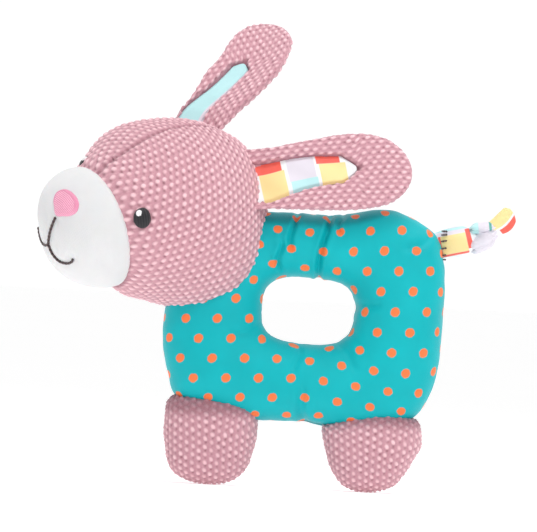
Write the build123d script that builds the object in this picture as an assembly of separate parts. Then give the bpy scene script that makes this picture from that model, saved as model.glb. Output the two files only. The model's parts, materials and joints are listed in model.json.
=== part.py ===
"""Plush ring rattle in the shape of a long-eared animal.

A stuffed ring stands on two knitted feet.  A knitted ball head with a jersey muzzle is sewn
into the upper front corner of the ring, and a knotted satin tail hangs from the rear corner.
A hard capsule with loose beads sits in the filling of the head.

Millimetres, +Z up, -X towards the nose, +Y towards the animal's right side.  The origin is
the centre of the footprint of the whole toy, on the surface that it stands on.
"""

import os
from math import cos, hypot, pi, radians, sin, sqrt

from build123d import *

# ---------------------------------------------------------------- driving dimensions
ring_half_thickness = 16.0  # stuffed ring, half of its depth along Y
ring_edge_radius = 11.0  # roundness of the stuffed edge
hole_length = 36.0  # grip hole, along X
hole_height = 26.0  # grip hole, along Z
hole_radius = 10.0  # roundness of the hole's corners
hole_centre_x = -0.5
hole_centre_z = 66.4

skin = 1.0  # ring fabric with its seam allowance
knit = 1.4  # knitted fabric
layer_gap = 0.1  # between a fabric and the filling behind it
joint_gap = 0.5  # between pieces that move against each other

head_centre = Vector(-53.3, -3.5, 101.2)
head_radius = 35.25
muzzle_radius = 22.5
muzzle_reach = 31.6  # from the head's centre to the muzzle's
nose_direction = Vector(-0.845, -0.487, -0.217)  # the way the animal looks
crown_direction = Vector(0.088, -0.529, 0.843)  # out of the top of its head

ear_thickness = 7.0
ear_edge_radius = 3.3
ear_lining_thickness = 0.9
ear_start = 1.0  # free space between the head and the ear's root
ear_roots = {"left": Vector(31.6, -10.1, 11.8), "right": Vector(8.3, 17.8, 29.3)}  # from the head's centre
ear_along = {"left": Vector(0.99, 0.065, 0.12), "right": Vector(0.442, 0.572, 0.692)}
ear_lined_side = {"left": Vector(0.014, -0.919, 0.391), "right": Vector(-0.247, -0.663, 0.707)}

capsule_radius = 13.0
capsule_wall = 1.2
bead_radius = 2.5
bead_count = 5
bead_circle_radius = 5.5
bead_play = 0.3  # least space between a bead and the capsule

foot_half_width = 15.5
foot_edge_radius = 4.2
foot_cup_radius = 18.7  # hollow top of a foot, round the ring's lower bar
foot_axis_height = {"front_foot": 42.0, "rear_foot": 39.5}
foot_outlines = {  # corner points along X and Z, with the roundness of each corner
    "front_foot": [(-49.6, 36, 9), (-52.2, 19, 16), (-49.4, 0, 12), (-19.6, 0, 11), (-17.2, 36, 9)],
    "rear_foot": [(9.0, 33, 9), (12.6, 0, 13), (39.5, 0, 12), (46.2, 20, 14), (43.6, 33, 9)],
}

tail_root_radius = 4.7
tail_joint = Vector(54.8, 0, 94.6)  # centre of the tail's rounded root

embroidery_gap = 0.1
embroidery_height = 1.2
thread_width = 1.1


# ---------------------------------------------------------------- frames on the head
side_direction = crown_direction.cross(nose_direction).normalized()
crown_direction = nose_direction.cross(side_direction).normalized()
head_frame = Plane(origin=head_centre, x_dir=nose_direction, z_dir=crown_direction)


# ---------------------------------------------------------------- helpers
def closed_outline(corners):
    """A face in the X-Z plane from corner points that carry their own roundness."""
    points = [(x, z) for x, z, _ in corners]
    radii = [radius for _, _, radius in corners]
    with BuildLine(Plane.XZ) as line:
        FilletPolyline(*points, radius=radii, close=True)
    return make_face(line.edges())


def pillow(face, half_thickness, edge_radius):
    """A flat outline in the X-Z plane thickened along Y and rounded on both sides."""
    block = extrude(face, amount=half_thickness, both=True)
    rims = block.faces().sort_by(Axis.Y)
    return fillet(rims[0].edges() + rims[-1].edges(), edge_radius)


def near_and_far(shell):
    """A shell cut along the seam at Y = 0: the half at -Y, then the half at +Y."""
    return split(shell, Plane.XZ, keep=Keep.TOP), split(shell, Plane.XZ, keep=Keep.BOTTOM)


# ---------------------------------------------------------------- ring
ring_corners = [
    (-54.6, 60, 80),
    (-51.0, 29.6, 13),
    (-2.0, 24.6, 150),
    (46.0, 25.2, 14),
    (50.3, 62, 90),
    (49.4, 106.4, 16),
    (16.0, 105.2, 90),
    (-54.0, 99.5, 13),
]


def ring_solid(inset):
    """The stuffed ring, with its surface moved inwards."""
    outer = offset(closed_outline(ring_corners), amount=-inset) if inset else closed_outline(ring_corners)
    hole = Plane.XZ * Pos(hole_centre_x, hole_centre_z) * RectangleRounded(
        hole_length + 2 * inset, hole_height + 2 * inset, hole_radius + inset
    )
    return pillow(outer - hole, ring_half_thickness - inset, ring_edge_radius - inset)


def make_ring():
    socket = Pos(head_centre) * Sphere(head_radius + joint_gap)
    front, back = near_and_far(ring_solid(0) - ring_solid(skin) - socket)
    return {
        "body_panel_front": front,
        "body_panel_back": back,
        "body_filling": ring_solid(skin + layer_gap) - socket,
    }


# ---------------------------------------------------------------- head
cheek_slope = (head_radius - muzzle_radius) / muzzle_reach  # sine of the cheek's angle
cheek_end = 25.5  # where the cheek begins to turn in to the muzzle seam
seam_at = muzzle_reach - 0.2
seam_radius = muzzle_radius + 0.2


def cheek_radius_at(forward, inset):
    """Distance of the cheek from the head's axis."""
    slope_cosine = sqrt(1 - cheek_slope**2)
    return (head_radius - inset - forward * cheek_slope) / slope_cosine


def head_solid(inset):
    """The head turned about its nose axis, with its surface moved inwards.

    The profile is a ball, a straight cheek, a turn in to the seam and a round muzzle.
    """
    ball = head_radius - inset
    slope_cosine = sqrt(1 - cheek_slope**2)
    ball_end = (ball * cheek_slope, ball * slope_cosine)
    cheek = (cheek_end, cheek_radius_at(cheek_end, inset))
    seam = (seam_at, seam_radius - inset)
    muzzle = muzzle_radius - inset
    tip = (muzzle_reach + muzzle, 0)
    with BuildLine() as line:
        ThreePointArc((-ball, 0), (-ball * sin(pi / 5), ball * cos(pi / 5)), ball_end)
        Line(ball_end, cheek)
        TangentArc(cheek, seam, tangent=(slope_cosine, -cheek_slope))
        Line(seam, (muzzle_reach, muzzle))
        muzzle_shoulder = (muzzle_reach + muzzle * sin(pi / 4), muzzle * cos(pi / 4))
        ThreePointArc((muzzle_reach, muzzle), muzzle_shoulder, tip)
        Line(tip, (-ball, 0))
    return revolve(make_face(line.edges()), Axis.X)


def make_head():
    """Covers, filling and embroidery, in the head's own frame: nose +X, left side +Y, up +Z."""
    past_seam = Pos(seam_at + 50, 0, 0) * Box(100, 120, 120)
    shell = head_solid(0) - head_solid(knit)
    knitted = shell - past_seam
    cavity = Sphere(capsule_radius + layer_gap)
    local = {
        "head_panel_left": split(knitted, Plane.XZ, keep=Keep.BOTTOM),
        "head_panel_right": split(knitted, Plane.XZ, keep=Keep.TOP),
        "muzzle_cover": shell & past_seam,
        "head_filling": head_solid(knit + layer_gap) - cavity,
    }
    local.update(make_face_embroidery())
    return {name: head_frame.location * solid for name, solid in local.items()}


def embroidered(outline, lowest, highest):
    """The part of a prism that lies between two heights above a cover."""
    return outline & highest - lowest


def make_face_embroidery():
    muzzle_centre = Pos(muzzle_reach, 0, 0)
    under = muzzle_centre * Sphere(muzzle_radius + embroidery_gap)
    over = muzzle_centre * Sphere(muzzle_radius + embroidery_gap + embroidery_height)
    pieces = {"nose_embroidery": make_nose() & (over - under)}

    thread_over = muzzle_centre * Sphere(muzzle_radius + embroidery_gap + thread_width * 0.7)
    pieces["mouth_stitching"] = make_mouth() & (thread_over - under)

    eye_base = head_solid(-embroidery_gap)
    eye_top = head_solid(-embroidery_gap - embroidery_height)
    glint_base = head_solid(-embroidery_height - 2 * embroidery_gap)
    glint_top = head_solid(-embroidery_height - 2 * embroidery_gap - 0.5)
    for name, side in (("left", 1), ("right", -1)):
        pieces[f"eye_{name}"] = eye_prism(side, 3.45, 3.9, 0, 0) & (eye_top - eye_base)
        pieces[f"eye_glint_{name}"] = eye_prism(side, 1.1, 1.4, 1.2, 1.2) & (glint_top - glint_base)
    return pieces


def make_nose():
    """A triangular patch, wide at its top, on the upper front of the muzzle."""
    nose_angle = radians(39)
    look = Vector(cos(nose_angle), 0, sin(nose_angle))
    plane = Plane(origin=Vector(muzzle_reach, 0, 0) + look * 10, x_dir=(0, 1, 0), z_dir=look)
    with BuildLine() as line:
        FilletPolyline((-5.6, 4.2), (0, 5.2), (5.6, 4.2), (0, -5.8), radius=[2, 4, 2, 2.2], close=True)
    return extrude(plane * make_face(line.edges()), amount=20)


def make_mouth():
    """A line down from the nose that parts into two upward curves."""
    plane = Plane(origin=(muzzle_reach, 0, 0), x_dir=(0, 1, 0), z_dir=(1, 0, 0))
    with BuildLine() as line:
        Line((0, 8.4), (0, -2.7))
        ThreePointArc((0, -2.7), (6.6, -7.0), (12.4, -3.9))
        ThreePointArc((0, -2.7), (-6.6, -7.0), (-12.4, -3.9))
    strokes = plane * trace(line.edges(), thread_width)
    return extrude(strokes, amount=30)


def eye_prism(side, half_width, half_height, towards_nose, upwards):
    """An oval prism that stands on the cheek, with an offset for the white glint."""
    eye_forward, eye_side, eye_up = 28.2, 21.3, 17.1
    from_axis = hypot(eye_side, eye_up)
    slope_cosine = sqrt(1 - cheek_slope**2)
    out = Vector(cheek_slope, side * slope_cosine * eye_side / from_axis, slope_cosine * eye_up / from_axis)
    to_nose = Vector(slope_cosine, -side * cheek_slope * eye_side / from_axis, -cheek_slope * eye_up / from_axis)
    up = out.cross(to_nose) * side
    eye_place = Vector(eye_forward - 2.5, side * eye_side, eye_up)
    origin = eye_place + to_nose * towards_nose + up * upwards - out * 8
    plane = Plane(origin=origin, x_dir=to_nose, z_dir=out)
    return extrude(plane * Ellipse(half_width, half_height), amount=16)


# ---------------------------------------------------------------- rattle capsule and beads
def make_capsule():
    shell = Sphere(capsule_radius) - Sphere(capsule_radius - capsule_wall)
    halves = {
        "rattle_capsule_upper": split(shell, Plane.XY, keep=Keep.TOP),
        "rattle_capsule_lower": split(shell, Plane.XY, keep=Keep.BOTTOM),
    }
    return {name: Pos(head_centre) * solid for name, solid in halves.items()}


bead_lift = sqrt((capsule_radius - capsule_wall - bead_radius - bead_play) ** 2 - bead_circle_radius**2)
bead_travel = 2 * bead_lift


def make_beads():
    """Loose beads at the bottom of the capsule, spaced round a circle."""
    beads = {}
    for index, place in enumerate(PolarLocations(bead_circle_radius, bead_count)):
        at = head_centre + place.position - Vector(0, 0, bead_lift)
        beads[f"rattle_bead_{index + 1}"] = Pos(at) * Sphere(bead_radius)
    return beads


# ---------------------------------------------------------------- ears
ear_outline = [  # from the root along the ear, with the roundness of each corner
    (1, -9.5, 6),
    (34, -16.0, 30),
    (54, -12.0, 14),
    (60, 0, 9),
    (54, 12.0, 14),
    (34, 16.0, 30),
    (1, 9.5, 6),
]
lining_outline = [(7, -5.5, 3), (24, -6.6, 30), (48, 0, 2), (24, 6.6, 30), (7, 5.5, 3)]


def leaf_face(corners):
    points = [(along, across) for along, across, _ in corners]
    with BuildLine() as line:
        FilletPolyline(*points, radius=[radius for _, _, radius in corners], close=True)
    return make_face(line.edges())


def leaf(corners, low, high):
    """A flat leaf between two heights, with its root at the origin and its tip along +X."""
    return extrude(Pos(0, 0, low) * leaf_face(corners), amount=high - low)


def ear_pad(inset):
    """The stuffed ear, with its surface moved inwards."""
    half = ear_thickness / 2 - inset
    face = offset(leaf_face(ear_outline), amount=-inset) if inset else leaf_face(ear_outline)
    block = extrude(Pos(0, 0, -half) * face, amount=2 * half)
    rims = block.faces().sort_by(Axis.Z)
    return fillet(rims[0].edges() + rims[-1].edges(), ear_edge_radius - inset)


def ear_frame(name):
    """Ear length along x, its width along y and its lined face towards z."""
    return Plane(origin=head_centre + ear_roots[name], x_dir=ear_along[name], z_dir=ear_lined_side[name])


def make_ear(name):
    front = ear_thickness / 2
    sunk = 0.2  # the lining lies a little below the knitted face
    window = leaf(lining_outline, front - knit - 0.1, front + 1)
    local = {
        "knit": ear_pad(0) - ear_pad(knit) - window,
        "lining": leaf(lining_outline, front - sunk - ear_lining_thickness, front - sunk),
        "wadding": ear_pad(knit + layer_gap),
    }
    return {f"ear_{name}_{layer}": ear_frame(name).location * solid for layer, solid in local.items()}


# ---------------------------------------------------------------- feet
def foot_solid(name, inset):
    face = closed_outline(foot_outlines[name])
    face = offset(face, amount=-inset) if inset else face
    return pillow(face, foot_half_width - inset, foot_edge_radius - inset)


def make_foot(name):
    """A foot with a hollow top that follows the ring's lower bar."""
    cup = Pos(0, 0, foot_axis_height[name]) * Rot(0, 90, 0) * Cylinder(foot_cup_radius, 160)
    shell = foot_solid(name, 0) - foot_solid(name, knit) - cup
    near, far = near_and_far(shell)
    return {
        f"{name}_panel_near": near,
        f"{name}_panel_far": far,
        f"{name}_filling": foot_solid(name, knit + layer_gap) - cup,
    }


# ---------------------------------------------------------------- tail
def make_tail():
    """A satin strip: a round root, a puffed length, a knot and a flared end."""
    root = Rot(90, 0, 0) * Cylinder(tail_root_radius, 7)
    puff = fillet((Pos(3.5, 0, 1.0) * Rot(0, -8, 0) * Box(9, 8, 10)).edges(), 2.5)
    knot = Pos(9.8, 0, 3.6) * Rot(0, 18, 0) * scale(Sphere(1), by=(4.4, 5.6, 6.2))
    with BuildLine(Plane.XZ) as line:
        FilletPolyline((8, 3), (15, 14.6), (21.6, 11.6), (19.6, 5.2), (11, 1), radius=[1, 2, 1.5, 2, 1], close=True)
    flare = extrude(make_face(line.edges()), amount=2.5, both=True)
    return {"tail_ribbon": Pos(tail_joint) * (root + puff + knot + flare)}


# ---------------------------------------------------------------- assembly
def build():
    """All pieces, by name, with the origin at the centre of the footprint."""
    pieces = {}
    pieces.update(make_ring())
    pieces.update(make_head())
    pieces.update(make_capsule())
    pieces.update(make_beads())
    pieces.update(make_ear("left"))
    pieces.update(make_ear("right"))
    pieces.update(make_foot("front_foot"))
    pieces.update(make_foot("rear_foot"))
    pieces.update(make_tail())
    boxes = [solid.bounding_box() for solid in pieces.values()]
    low = Vector(*(min(getattr(box.min, axis) for box in boxes) for axis in "XYZ"))
    high = Vector(*(max(getattr(box.max, axis) for box in boxes) for axis in "XYZ"))
    shift = Vector(-(low.X + high.X) / 2, -(low.Y + high.Y) / 2, -low.Z)
    return {name: Pos(shift) * solid for name, solid in pieces.items()}, shift


pieces, origin_shift = build()
os.makedirs("parts", exist_ok=True)
for name, solid in pieces.items():
    export_step(solid, f"parts/{name}.step")
print("moved by", origin_shift)
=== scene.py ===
"""Looks of a plush ring rattle: knitted head and feet, dotted satin ring, lined ears, knotted tail.

Shapes are worked out in millimetres in the toy's own axes and turned into metres by make_piece.
"""

import json
from math import cos, pi, radians, sin, sqrt
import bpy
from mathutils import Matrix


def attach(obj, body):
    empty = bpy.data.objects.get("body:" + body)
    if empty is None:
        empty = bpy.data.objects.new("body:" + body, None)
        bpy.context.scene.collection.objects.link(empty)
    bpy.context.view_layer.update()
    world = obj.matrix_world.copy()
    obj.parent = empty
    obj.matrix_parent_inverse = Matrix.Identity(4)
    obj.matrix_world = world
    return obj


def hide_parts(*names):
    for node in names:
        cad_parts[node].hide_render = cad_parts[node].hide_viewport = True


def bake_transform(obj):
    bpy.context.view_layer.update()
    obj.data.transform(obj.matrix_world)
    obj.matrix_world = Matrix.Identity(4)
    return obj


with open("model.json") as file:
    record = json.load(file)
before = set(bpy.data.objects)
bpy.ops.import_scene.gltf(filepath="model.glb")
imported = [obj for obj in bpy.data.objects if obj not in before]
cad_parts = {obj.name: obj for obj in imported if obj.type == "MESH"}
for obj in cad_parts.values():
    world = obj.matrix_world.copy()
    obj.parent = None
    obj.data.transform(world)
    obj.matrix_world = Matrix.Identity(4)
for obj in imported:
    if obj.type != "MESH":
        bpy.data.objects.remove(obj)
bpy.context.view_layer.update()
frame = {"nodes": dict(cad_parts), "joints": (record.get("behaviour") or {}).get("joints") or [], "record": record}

from types import SimpleNamespace

import bpy
import numpy as np
from mathutils import Matrix, Vector

MM = 0.001
joints = {joint["name"]: joint for joint in frame["joints"]}
mounts = {mount["name"]: mount for mount in frame["record"]["mounts"]}


# ---- places taken from the frame
def unit(vector):
    vector = np.asarray(vector, float)
    return vector / np.linalg.norm(vector, axis=-1, keepdims=True)


def spot_of(row):
    """The place of a joint or a mount, in millimetres."""
    return np.array(row["pos_m"]) / MM


head_centre = spot_of(joints["head_nod"])
hole_centre = spot_of(mounts["grip_hole"])
tail_root = spot_of(joints["tail_swing"])

nose_way = unit([-0.845, -0.487, -0.217])
left_way = unit(np.cross([0.088, -0.529, 0.843], nose_way))
crown_way = np.cross(nose_way, left_way)
head_ways = np.array([nose_way, left_way, crown_way])

head_radius = 35.25
muzzle_radius = 22.5
muzzle_reach = 31.6  # from the head's centre to the muzzle's
muzzle_middle = np.array([muzzle_reach, 0, 0])


def from_head(spot):
    """Points given along the nose, to the animal's left and out of its crown."""
    return head_centre + spot @ head_ways


# ---- mesh helpers
def smooth(low, high, value):
    """0 below low, 1 above high, with a soft step between."""
    share = np.clip((value - low) / (high - low), 0, 1)
    return share * share * (3 - 2 * share)


def rows_and_turns(values, columns):
    """A grid with values down its rows and angles once round along its columns."""
    return np.meshgrid(values, np.linspace(0, 2 * pi, columns, endpoint=False), indexing="ij")


def grid_faces(points, wrap_rows=False, wrap_columns=False):
    """Quads of a grid of points, row by row, that may close on itself."""
    rows, columns = points.shape[:2]
    index = np.arange(rows * columns).reshape(rows, columns)
    if wrap_rows:
        index = np.vstack([index, index[:1]])
    if wrap_columns:
        index = np.hstack([index, index[:, :1]])
    corners = [index[:-1, :-1], index[1:, :-1], index[1:, 1:], index[:-1, 1:]]
    return np.stack([corner.ravel() for corner in corners], axis=1)


def grid_normals(points, wrap_rows=False, wrap_columns=False):
    """Unit normals of a grid of points, on the side that grid_faces shows."""
    along = steps(points, 0, wrap_rows)
    across = steps(points, 1, wrap_columns)
    return unit(np.cross(along, across) + 1e-12)


def facing_normals(points, way, wrap_rows=False):
    """Normals of a grid of points, on the side where the middle one looks along way."""
    normal = grid_normals(points, wrap_rows)
    middle = normal[points.shape[0] // 2, points.shape[1] // 2]
    return -normal if middle @ way < 0 else normal


def steps(points, axis, wrap):
    """Differences between neighbours on a grid."""
    if wrap:
        return np.roll(points, -1, axis) - np.roll(points, 1, axis)
    return np.gradient(points, axis=axis)


def make_piece(name, points, faces, material, flip=False, **values):
    """A smooth mesh object from points in millimetres that stores their rest places and other values."""
    points = np.asarray(points, float).reshape(-1, 3) * MM
    values["rest"] = points
    faces = faces[:, ::-1] if flip else faces
    used = np.unique(faces)
    lookup = np.zeros(len(points), int)
    lookup[used] = np.arange(len(used))
    mesh = bpy.data.meshes.new(name)
    mesh.from_pydata(points[used].tolist(), [], lookup[faces].tolist())
    for label, value in values.items():
        flat = np.asarray(value, float)
        if flat.ndim and flat.shape[-1] == 3:
            layer = mesh.attributes.new(label, "FLOAT_VECTOR", "POINT")
            layer.data.foreach_set("vector", flat.reshape(-1, 3)[used].ravel())
        else:
            layer = mesh.attributes.new(label, "FLOAT", "POINT")
            layer.data.foreach_set("value", flat.reshape(-1)[used])
    mesh.validate()
    mesh.shade_smooth()
    mesh.materials.append(material)
    piece = bpy.data.objects.new(name, mesh)
    bpy.context.scene.collection.objects.link(piece)
    return piece


def on_cloth(first, second):
    """Places on the flat cloth, as a mesh stores them."""
    return np.stack([first, second, 0 * first], -1)


def length_along(path):
    """Length from the start of a path to each of its points."""
    return np.concatenate([[0], np.cumsum(np.linalg.norm(np.diff(path, axis=0), axis=1))])


def round_grid(count):
    """A square grid moved onto a disc: radius 0..1 and angle of each point."""
    line = np.linspace(-1, 1, count)
    across, along = np.meshgrid(line, line)
    radius = np.maximum(abs(across), abs(along))
    with np.errstate(divide="ignore", invalid="ignore"):
        wide = np.where(abs(across) >= abs(along), along / across, across / along)
    wide = np.nan_to_num(wide) * pi / 4
    angle = np.where(abs(across) >= abs(along), wide, pi / 2 - wide)
    angle = np.where(np.where(abs(across) >= abs(along), across, along) < 0, angle + pi, angle)
    return radius, angle


def eased(share, start, end, start_slope, end_slope):
    """A cubic between two ends that leaves and arrives with their slopes."""
    cube, square = share**3, share**2
    return (
        (2 * cube - 3 * square + 1) * start
        + (cube - 2 * square + share) * start_slope
        + (3 * square - 2 * cube) * end
        + (cube - square) * end_slope
    )


def closed_curve(points, angles):
    """A smooth closed outline through points, read off at angles round the origin."""
    points = np.asarray(points, float)
    order = np.argsort(np.arctan2(points[:, 1], points[:, 0]) % (2 * pi))
    points = points[order]
    at = np.arctan2(points[:, 1], points[:, 0]) % (2 * pi)
    at = np.concatenate([at[-2:] - 2 * pi, at, at[:2] + 2 * pi])
    points = np.vstack([points[-2:], points, points[:2]])
    slope = (points[2:] - points[:-2]) / (at[2:] - at[:-2])[:, None]
    angles = np.asarray(angles) % (2 * pi)
    place = np.clip(np.searchsorted(at, angles, side="right") - 1, 1, len(at) - 3)
    gap = (at[place + 1] - at[place])[..., None]
    share = (angles - at[place])[..., None] / gap
    return eased(share, points[place], points[place + 1], slope[place - 1] * gap, slope[place] * gap)


def turned(first, second, angle):
    """Two directions, or the two parts of places, turned in their own plane."""
    return first * cos(angle) + second * sin(angle), second * cos(angle) - first * sin(angle)


def smooth_line(values, at):
    """A soft curve through evenly spaced values."""
    values = np.asarray(values, float)
    slope = np.gradient(values)
    place = np.clip(np.floor(at).astype(int), 0, len(values) - 2)
    return eased(at - place, values[place], values[place + 1], slope[place], slope[place + 1])


# ---- knit
stitch_gap = 2.45  # between columns of stitches
stitch_rise = 3.15  # between stitches of one column
stitch_height = 0.85


def knit_relief(across, along, size=1.0):
    """Height 0..1 of chunky moss stitches on a flat cloth, and how deep its gaps are, a depth that the knit's
    colour also uses as painted shade.

    Columns of rounded loops stand half a stitch apart, with a strand between loops.
    """
    gap, rise = stitch_gap * size, stitch_rise * size
    column = np.round(across / gap).astype(int)
    height = np.zeros(np.shape(across))
    pit = np.zeros(np.shape(across))
    for side in (-1, 0, 1):
        here = column + side
        offset = (here % 2) * rise / 2
        row = np.round((along - offset) / rise).astype(int)
        for step in (-1, 0, 1):
            this = row + step
            wobble_a, wobble_b, lift = scatter(here, this)
            from_across = across - here * gap - wobble_a * 0.22 * size
            from_along = along - offset - this * rise - wobble_b * 0.22 * size
            lean = from_along + 0.3 * from_across
            round_loop = (from_across / (1.12 * size)) ** 2 + (lean / (1.24 * size)) ** 2
            loop = np.clip(1 - round_loop, 0, 1) ** 0.75 * (0.86 + 0.14 * lift)
            height = np.maximum(height, loop)
            # a gap below each loop, sunk into the surface and darkened as painted shade
            below = (from_across - 0.3 * size) ** 2 + (from_along + 1.42 * size) ** 2
            pit = np.maximum(pit, np.exp(-below / (0.5 * size) ** 2) * (0.7 + 0.3 * lift))
    strand = 0.24 + 0.1 * np.cos(2 * pi * across / gap + 1.0)
    strand = strand + 0.08 * np.cos(4 * pi * along / rise + 2 * across)
    return np.maximum(height, strand) - 0.25 * pit, pit


def scatter(one, two):
    """Three repeatable values in -1..1 for each pair of whole numbers."""
    seed = one * 127.1 + two * 311.7
    return tuple(2 * ((np.sin(seed * scale) * 43758.5453) % 1) - 1 for scale in (1.0, 1.37, 1.91))


# ---- material helpers
class Shader:
    """A node tree under construction, ending in one Principled shader."""

    def __init__(self, name, **settings):
        self.material = bpy.data.materials.new(name)
        self.material.use_nodes = True
        self.tree = self.material.node_tree
        self.surface = self.tree.nodes["Principled BSDF"]
        settings = {"Specular_IOR_Level": 0.3, "Subsurface_Scale": 0.002, **settings}
        for key, value in settings.items():
            self.surface.inputs[key.replace("_", " ")].default_value = value

    def node(self, kind, settings=None, **inputs):
        node = self.tree.nodes.new(kind)
        for key, value in (settings or {}).items():
            setattr(node, key, value)
        for key, value in inputs.items():
            self.feed(node.inputs[key.replace("_", " ")], value)
        return node

    def feed(self, socket, value):
        if isinstance(value, bpy.types.NodeSocket):
            self.tree.links.new(value, socket)
        else:
            socket.default_value = value

    def maths(self, operation, first, second=0.0, third=0.0):
        node = self.tree.nodes.new("ShaderNodeMath")
        node.operation = operation
        for socket, value in zip(node.inputs, (first, second, third)):
            self.feed(socket, value)
        return node.outputs[0]

    def value(self, name):
        return self.node("ShaderNodeAttribute", {"attribute_name": name}).outputs["Fac"]

    def cloth(self):
        """Place on the flat cloth, in millimetres."""
        vector = self.node("ShaderNodeAttribute", {"attribute_name": "cloth"}).outputs["Vector"]
        parts = self.node("ShaderNodeSeparateXYZ", Vector=vector)
        return parts.outputs["X"], parts.outputs["Y"]

    def wave(self, value, length):
        return self.maths("SINE", self.maths("MULTIPLY", value, 2 * pi / length))

    def not_(self, value):
        return self.maths("SUBTRACT", 1.0, value)

    def from_middle(self, value, pitch, offset):
        """Distance from the middle of the nearest cell of an even row."""
        cell = self.maths("ADD", self.maths("DIVIDE", value, pitch), 100.5 + offset)
        return self.maths("MULTIPLY", self.maths("SUBTRACT", self.maths("FRACT", cell), 0.5), pitch)

    def between(self, value, low, high):
        return self.maths("MULTIPLY", self.step(value, low, 0.15), self.not_(self.step(value, high, 0.15)))

    def step(self, value, edge, softness):
        """0 below an edge and 1 above it."""
        node = self.node("ShaderNodeMapRange", {"interpolation_type": "SMOOTHSTEP"}, Value=value)
        node.inputs["From Min"].default_value = edge - softness
        node.inputs["From Max"].default_value = edge + softness
        return node.outputs["Result"]

    def mix(self, share, first, second):
        node = self.tree.nodes.new("ShaderNodeMix")
        node.data_type = "RGBA"
        for label, value in (("Factor_Float", share), ("A_Color", first), ("B_Color", second)):
            socket = next(each for each in node.inputs if each.identifier == label)
            self.feed(socket, value)
        return next(each for each in node.outputs if each.identifier == "Result_Color")

    def noise(self, scale, detail, vector=None):
        vector = vector or self.place()
        return self.node("ShaderNodeTexNoise", Scale=scale, Detail=detail, Vector=vector).outputs["Fac"]

    def place(self):
        """Position on the object at rest, in metres."""
        return self.node("ShaderNodeAttribute", {"attribute_name": "rest"}).outputs["Vector"]

    def bump(self, height, distance, strength, before=None):
        node = self.node("ShaderNodeBump", Strength=strength, Distance=distance, Height=height)
        if before is not None:
            self.feed(node.inputs["Normal"], before)
        return node.outputs["Normal"]

    def finish(self, colour, normal=None, roughness=None):
        self.feed(self.surface.inputs["Base Color"], colour)
        if normal is not None:
            self.feed(self.surface.inputs["Normal"], normal)
        if roughness is not None:
            self.feed(self.surface.inputs["Roughness"], roughness)
        return self.material


def colour(red, green, blue):
    """A colour given as it is seen, 0..255, in the shader's linear light."""
    seen = np.array([red, green, blue]) / 255
    linear = np.where(seen <= 0.04045, seen / 12.92, ((seen + 0.055) / 1.055) ** 2.4)
    return (*linear.tolist(), 1.0)


# ---- materials
def knit_material():
    shader = Shader("pink_knit", Roughness=0.92, Sheen_Weight=0.25, Sheen_Roughness=0.6)
    relief = shader.value("relief")
    pit = shader.value("pit")
    patches = shader.noise(90.0, 3.0)
    fibres = shader.noise(1700.0, 3.0)
    # painted highlight on the tops of the loops and painted shade in their lows, following the relief
    light = shader.mix(patches, colour(255, 218, 223), colour(246, 199, 207))
    base = shader.mix(shader.step(relief, 0.6, 0.4), colour(197, 140, 152), light)
    # painted shade in the gaps between loops, along seams and grooves, and under the ring
    base = shader.mix(shader.maths("MULTIPLY", pit, 0.95), base, colour(134, 72, 88))
    base = shader.mix(shader.maths("MULTIPLY", fibres, 0.3), base, colour(240, 200, 208))
    normal = shader.bump(fibres, 0.0004, 0.6)
    return shader.finish(base, normal)


def jersey_material():
    settings = {"Sheen_Weight": 0.2, "Sheen_Roughness": 0.5, "Subsurface_Weight": 0.08}
    shader = Shader("white_jersey", Roughness=0.85, **settings)
    across, along = shader.cloth()
    wale = shader.wave(across, 0.7)
    lean = shader.maths("ADD", along, shader.maths("MULTIPLY", shader.maths("ABSOLUTE", wale), 0.3))
    course = shader.wave(lean, 0.55)
    weave = shader.maths("MULTIPLY_ADD", wale, 0.5, shader.maths("MULTIPLY", course, 0.5))
    cloud = shader.noise(120.0, 3.0)
    base = shader.mix(cloud, colour(219, 219, 220), colour(228, 228, 229))
    normal = shader.bump(weave, 0.00012, 0.35)
    return shader.finish(base, normal)


dot_pitch = 12.2  # between dots of one row
dot_row = 7.45  # between rows, which are staggered by half a pitch
dot_radius = 1.7
dot_tilt = radians(3)  # of the rows to the ring
dot_start = (-5.7, -23.8)  # a dot's place from the hole's centre, along its row and across it


def ring_material():
    shader = Shader("ring_fabric", Specular_IOR_Level=0.22)
    across, along = shader.cloth()
    away = []
    for half in (0.0, 0.5):
        sides = shader.from_middle(across, dot_pitch, half), shader.from_middle(along, 2 * dot_row, half)
        squares = [shader.maths("POWER", side, 2.0) for side in sides]
        away.append(shader.maths("SQRT", shader.maths("ADD", *squares)))
    ragged = shader.maths("MULTIPLY_ADD", shader.noise(900.0, 2.0), 0.5, -0.25)
    edge = shader.maths("ADD", shader.maths("MINIMUM", *away), ragged)
    inside = shader.not_(shader.step(edge, dot_radius, 0.22))
    cloud = shader.noise(70.0, 3.0)
    teal = shader.mix(cloud, colour(0, 170, 178), colour(0, 192, 200))
    orange = shader.mix(cloud, colour(252, 118, 62), colour(255, 136, 80))
    base = shader.mix(inside, teal, orange)
    weave = shader.maths("MULTIPLY", shader.wave(across, 0.42), shader.wave(along, 0.42))
    normal = shader.bump(weave, 0.00006, 0.5)
    ripple = shader.noise(260.0, 3.0)
    normal = shader.bump(ripple, 0.0006, 0.12, before=normal)
    rough = shader.maths("MULTIPLY_ADD", cloud, 0.12, 0.42)
    return shader.finish(base, normal, rough)


satin_white = colour(246, 248, 250)
satin_red = colour(250, 98, 80)
satin_yellow = colour(255, 230, 158)
satin_lilac = colour(230, 224, 234)
satin_aqua = colour(188, 236, 238)


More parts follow.
